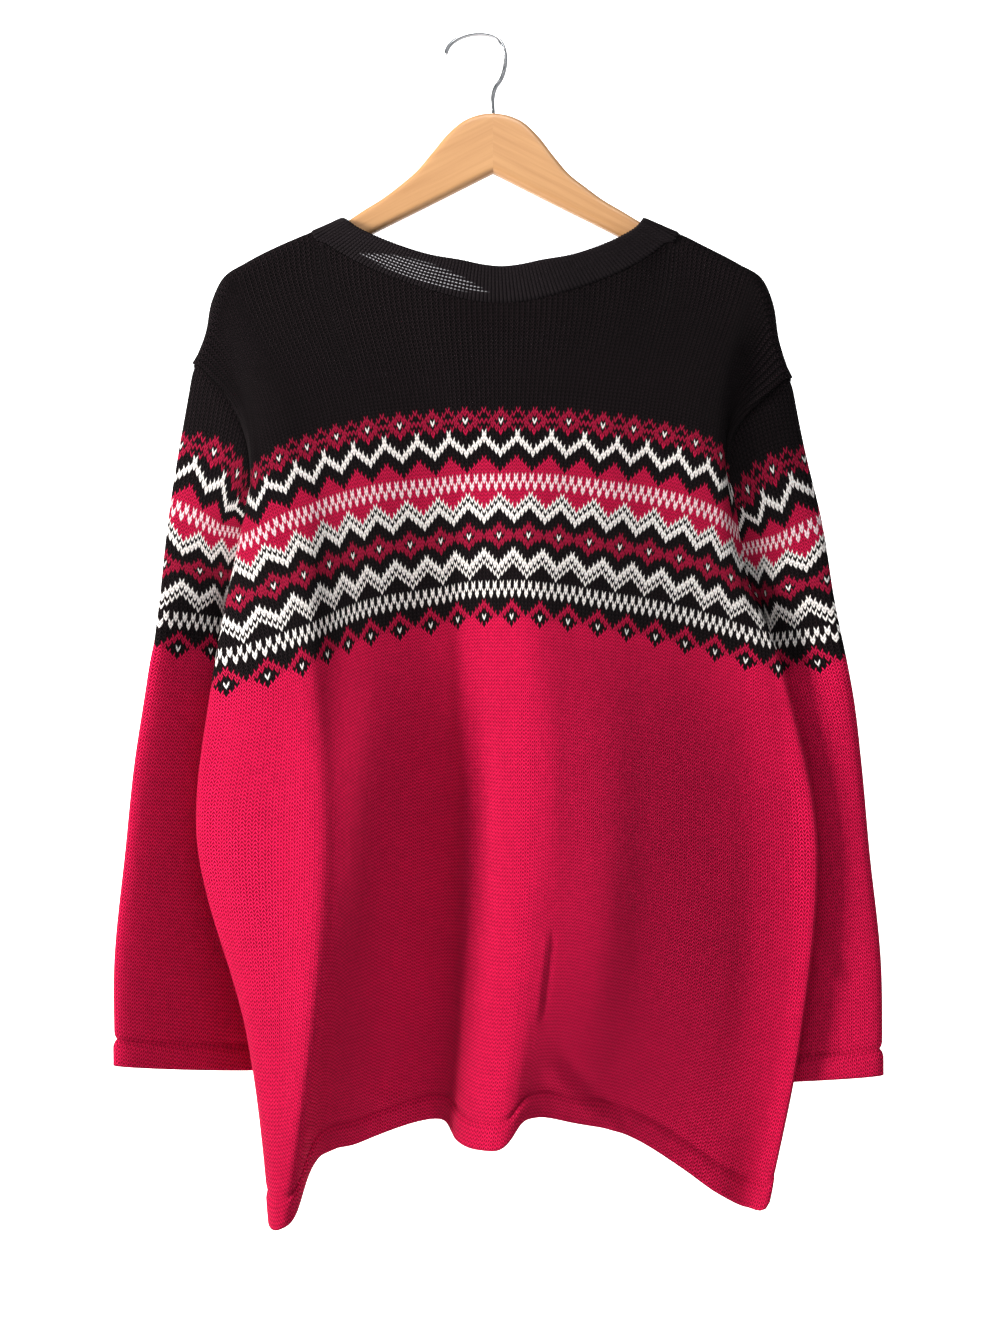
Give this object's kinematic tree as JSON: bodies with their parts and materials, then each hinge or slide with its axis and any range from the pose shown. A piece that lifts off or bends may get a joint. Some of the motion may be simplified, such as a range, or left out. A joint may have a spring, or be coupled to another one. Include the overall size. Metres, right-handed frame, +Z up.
{
  "type": "fair isle jumper on a wooden hanger",
  "caption": "Long-sleeved fair isle knit jumper in red, black and cream, hung by its neck and shoulders on a flat wooden hanger with a wire hook.",
  "frame": {"origin": "inner side of the hook's crown, where it rests on a rail", "axes": "+X along the hanger to the right of the side that is shown, -Y out of the jumper's back, which is the side shown, +Z up"},
  "size_m": [0.6187, 0.1302, 0.9379],
  "materials": {
    "red knit": "stranded stocking stitch in red, black and cream wool, soft and matt",
    "black knit": "one by one rib in black wool, matt",
    "varnished wood": "clear satin varnish on pale hardwood",
    "polished wire": "chrome plated steel wire"
  },
  "bodies": {
    "root": {"back_panel": "red knit", "front_panel": "red knit", "sleeve_left": "red knit", "sleeve_right": "red knit", "neckband": "black knit", "hanger_arm_left": "varnished wood", "hanger_arm_right": "varnished wood", "hanger_hook": "polished wire"}
  },
  "joints": []
}
